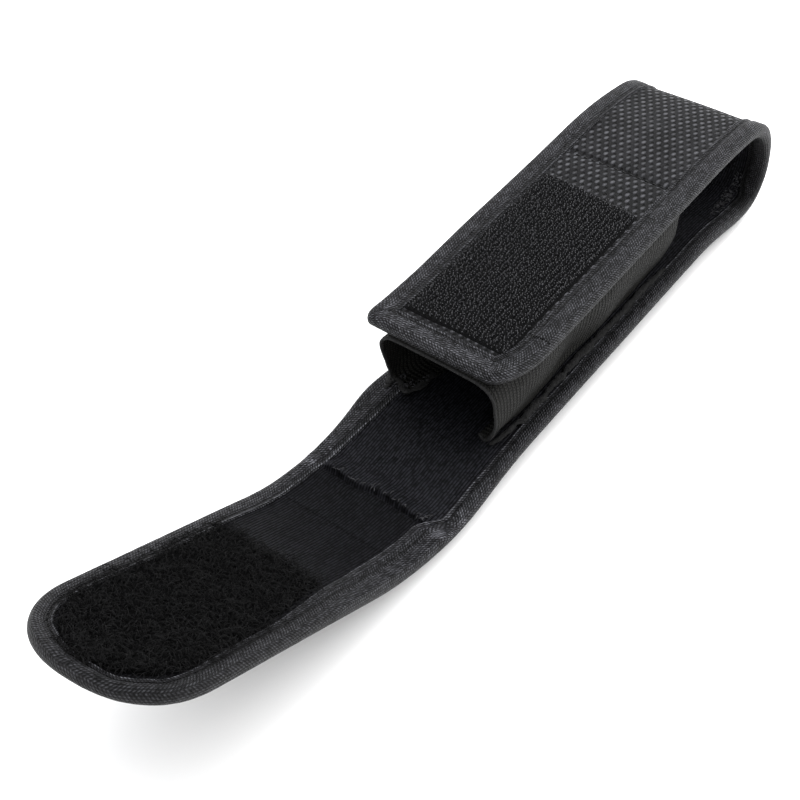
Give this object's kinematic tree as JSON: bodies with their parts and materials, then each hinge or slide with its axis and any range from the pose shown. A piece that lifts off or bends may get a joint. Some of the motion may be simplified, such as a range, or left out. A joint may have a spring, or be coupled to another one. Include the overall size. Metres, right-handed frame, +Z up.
{
  "type": "flashlight holster",
  "caption": "Padded nylon belt holster for a tactical flashlight, lying open, with elastic sides, a folding hook-and-loop flap and a webbing belt loop.",
  "frame": {"origin": "centre of the open holster's bounding box, on the plane that the belt loop's underside rests on", "axes": "+X runs along the pocket from its mouth to its closed bottom, +Y across the strip, +Z up from the back to the front"},
  "size_m": [0.2966, 0.048, 0.0557],
  "materials": {
    "nylon_shell": "coarse basket-weave nylon, matt with a slight sheen",
    "binding_tape": "fine ribbed nylon tape",
    "lining": "smooth fine-ribbed cloth",
    "foam": "closed-cell foam sheet, hidden",
    "elastic": "ribbed knitted elastic",
    "hook_tape": "moulded nylon hooks on a woven base",
    "loop_tape": "napped nylon loops",
    "webbing": "flat woven nylon webbing",
    "thread": "bonded nylon thread"
  },
  "bodies": {
    "back": {"back_shell": "nylon_shell", "back_foam": "foam", "back_lining": "lining", "turn_shell": "nylon_shell", "turn_foam": "foam", "turn_lining": "lining", "back_binding_left": "binding_tape", "back_binding_right": "binding_tape", "turn_binding_left": "binding_tape", "turn_binding_right": "binding_tape", "elastic_side_left": "elastic", "elastic_side_right": "elastic", "belt_loop": "webbing", "belt_loop_tack_top": "thread", "belt_loop_tack_bottom": "thread"},
    "front": {"front_shell": "nylon_shell", "front_foam": "foam", "front_lining": "lining", "front_binding": "binding_tape", "hook_patch": "hook_tape", "elastic_bridge": "elastic", "cross_seam": "thread"},
    "neck": {"neck_shell": "nylon_shell", "neck_foam": "foam", "neck_lining": "lining", "neck_binding_left": "binding_tape", "neck_binding_right": "binding_tape"},
    "tongue": {"tongue_shell": "nylon_shell", "tongue_foam": "foam", "tongue_lining": "lining", "tongue_binding": "binding_tape", "loop_patch": "loop_tape"}
  },
  "joints": [
    {"name": "flap_crease", "type": "hinge", "parent": "back", "child": "neck", "pos_m": [-0.03838, 0, 0.0083], "axis": [0, 1, 0], "range_deg": [-13, 76.3]},
    {"name": "flap_wrap", "type": "hinge", "parent": "neck", "child": "tongue", "pos_m": [-0.07202, 0, 0.01846], "axis": [0, 1, 0], "range_deg": [-13, 76.3]},
    {"name": "pocket_press", "type": "hinge", "parent": "back", "child": "front", "pos_m": [0.09552, 0, 0.03999], "axis": [0, -1, 0], "range_deg": [0, 6], "stiffness_Nm_per_rad": 0.3, "springref_deg": -8.59, "deforming": ["elastic_side_left", "elastic_side_right"]}
  ],
  "couplings": [
    {"joint": "flap_wrap", "follows": "flap_crease", "ratio": 1}
  ]
}
